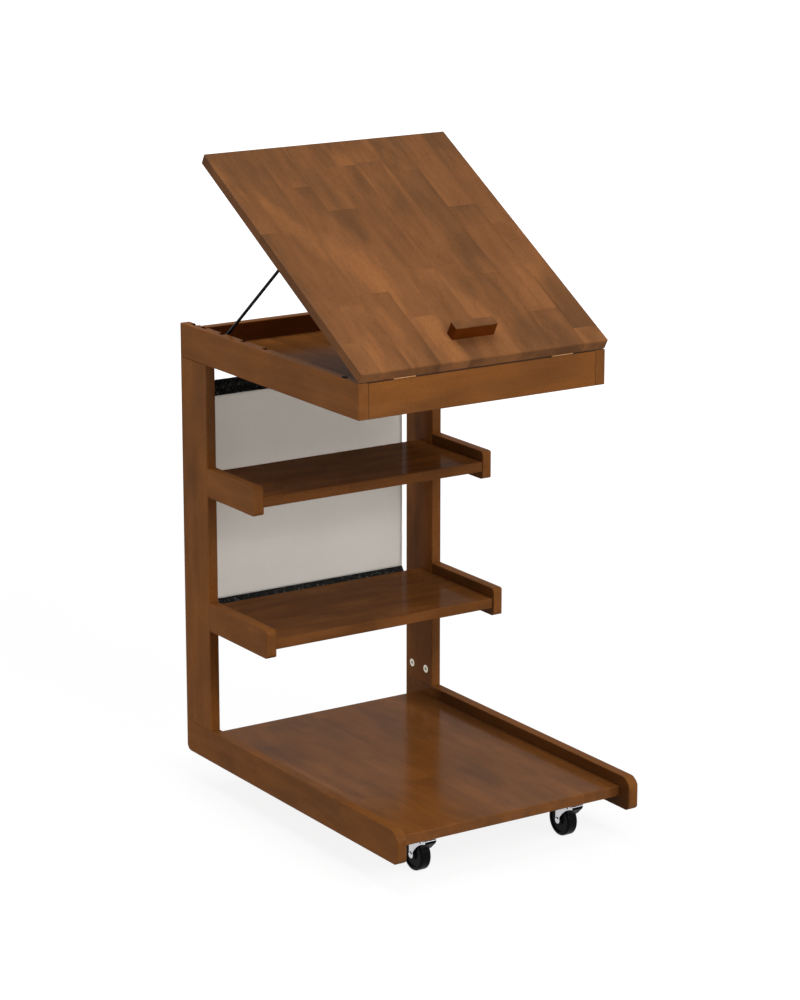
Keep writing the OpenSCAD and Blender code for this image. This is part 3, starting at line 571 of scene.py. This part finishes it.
def upper_path():
    """Middle line of the upper strip, as (y, z): up from the cloth, round the rod and down behind."""
    beside = 0.00085  # half the way between the strip's two ends
    first, last = 218, -38  # where it comes to the rod and leaves it, in degrees
    radius = ROD_RADIUS + STRIP_WALL
    tail = [CLOTH_HIGH + STRIP_GAP + 0.0009 * i for i in range(12)]
    turns = [math.radians(first + (last - first) * i / 24) for i in range(25)]
    loop = [(radius * math.cos(turn), ROD_Z + radius * math.sin(turn)) for turn in turns]
    return [(-beside, z) for z in tail] + loop + [(beside, z) for z in reversed(tail)]


def lower_path():
    """Middle line of the lower strip: from the cloth down behind the shelf and forward under it."""
    bend, reach = 0.0143, 0.036  # how far forward of the cloth it turns under the shelf, and ends
    below = 0.0012  # from the shelf to the strip's middle
    top, low = CLOTH_LOW - STRIP_GAP, SHELF_UNDER - below
    falling = [(-bend * i / 14, top + (low - top) * i / 14) for i in range(15)]
    return falling + [(-bend - (reach - bend) * i / 12, low) for i in range(1, 13)]


def strip(name, path, finish):
    """A napped strip along the path, as wide as the cloth."""
    nap, fray = 0.00022, 0.0005
    last = len(path) - 1
    bm = bmesh.new()
    bmesh.ops.create_grid(bm, x_segments=150, y_segments=last, size=0.5)
    chance = random.Random(len(path))
    for vert in bm.verts:
        step = round((vert.co.y + 0.5) * last)
        within = abs(vert.co.x) < 0.499
        y, z = path[step]
        rough = chance.uniform(-nap, nap) if within and 0 < step < last else 0.0
        x = vert.co.x * 2 * CLOTH_HALF + chance.uniform(-fray, fray) * within
        vert.co = (x, CLOTH_Y + y + rough, z + rough)
    return fabric(bm, name, finish, STRIP_WALL)


def hanging_cloth():
    """The grey back, with a hem down each side, and the two strips that hold it."""
    cloth, black = grey_cloth(), napped_strip()
    back = waved_cloth("hanging_cloth", cloth, CLOTH_WALL, 90, -CLOTH_HALF, CLOTH_HALF)
    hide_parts("fabric_panel")
    hems = [hem("left_hem", -1, cloth), hem("right_hem", 1, cloth)]
    upper = strip("upper_strip", upper_path(), black)
    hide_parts("fabric_upper_band")
    lower = strip("lower_strip", lower_path(), black)
    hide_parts("fabric_lower_band")


# Finishes of the CAD nodes

def dress(finish, *names):
    """Gives CAD nodes their finish."""
    for name in names:
        for slot in nodes[name].material_slots:
            slot.material = finish


def dress_boards():
    """Each board has its own stretch of wood, with the grain along its length."""
    deep, upright, wide = {"grain": 1, "face": 2}, {"grain": 2, "face": 1}, {"grain": 0, "face": 2}
    boards = {
        "left_base_rail": dict(deep, seed=0.31, tone=-0.02, stain_and_shade=inner_face_shade),
        "right_base_rail": dict(deep, seed=0.77, stain_and_shade=inner_face_shade),
        "left_tray_rail": dict(deep, seed=1.43, stain_and_shade=notch_shade),
        "right_tray_rail": dict(deep, seed=1.91, tone=0.02, stain_and_shade=notch_shade),
        "left_upper_shelf_rail": dict(deep, seed=2.1, stain_and_shade=inner_face_shade),
        "right_upper_shelf_rail": dict(deep, seed=2.67, tone=0.02, stain_and_shade=inner_face_shade),
        "left_lower_shelf_rail": dict(deep, seed=3.24, stain_and_shade=inner_face_shade),
        "right_lower_shelf_rail": dict(deep, seed=3.81, tone=0.02, stain_and_shade=inner_face_shade),
        "left_post": dict(upright, seed=4.4),
        "right_post": dict(upright, seed=5.23),
        "tray_front_rail": dict(wide, seed=6.2, tone=0.04, stain_and_shade=joints_and_lid_shadow),
        "tray_rear_rail": dict(wide, seed=6.9),
    }
    for name, wood in boards.items():
        dress(stained_wood(name + "_wood", **wood), name)


def dress_panels():
    """Panels are glued from staves, which differ most in shade on the lid."""
    deep = {"grain": 1, "face": 0, "stave": (0.046, 0.26)}
    wide = {"grain": 0, "face": 1, "stave": (0.046, 0.25)}
    panels = {
        "base_panel": dict(deep, seed=7.3, gloss=0.17, stain_and_shade=right_rail_shade),
        "lower_shelf_panel": dict(wide, seed=8.1, tone=-0.16, gloss=0.08),
        "upper_shelf_panel": dict(wide, seed=8.7, tone=-0.14, gloss=0.08),
        "tray_bottom_panel": dict(deep, seed=9.4, tone=-0.1, gloss=0.08),
    }
    for name, wood in panels.items():
        dress(stained_wood(name + "_wood", dull_patches=0.35, **wood), name)
    lid = stained_wood(
        "lid_wood", grain=1, face=0, seed=10.6, stave=(0.047, 0.23), stain=TOP_STAIN, contrast=0.12,
        dull_patches=0.6, bright_patches=0.26, on_lid=True)
    dress(lid, "lid_panel")
    dress(ledge_wood(), "book_ledge")
    dress(stained_wood("dowel_beech", grain=1, face=0, seed=3.3, tone=0.4), "dowels")


def dress_fittings():
    """The hinges, locks, screws, prop and bumpers."""
    hinge = steel("nickel_plated_steel", paint(168, 122, 82), 0.34, 0.12, (400.0, 40.0, 40.0))
    leaves = [side + "_hinge_" + on + "_leaf" for side in ("left", "right") for on in ("frame", "lid")]
    dress(hinge, *leaves, "hinge_pins", "hinge_frame_screws", "hinge_lid_screws")
    dress(cam_with_slots(), "post_cam_locks")
    dress(steel("bright_cam_zinc", paint(206, 200, 186), 0.34, 0.16), "panel_cam_locks", "cam_bolts")
    dress(ZINC, "fabric_rod", "prop_clip_screws", "book_ledge_screws")
    dress(moulded("black_coated_wire", paint(13, 15, 19), 0.42, 500.0, 0.000004), "prop_wire")
    dress(BLACK_PLASTIC, "prop_clips")
    dress(moulded("bumper_rubber", paint(14, 14, 15), 0.7), "lid_bumpers")


def dress_casters():
    wheel = moulded("black_wheel_nylon", paint(7, 7, 8), 0.36)
    for corner in ("front_left", "front_right", "rear_left", "rear_right"):
        dress(ZINC, *(corner + part for part in ("_caster_plate", "_caster_fork", "_caster_axle")))
        dress(wheel, corner + "_caster_wheel")
    dress(BLACK_PLASTIC, "front_left_brake_pedal", "front_right_brake_pedal")
    dress(ZINC, "caster_screws")


camera()
lamps()
room()
lay_floor()
dress_boards()
dress_panels()
dress_fittings()
dress_casters()
hanging_cloth()
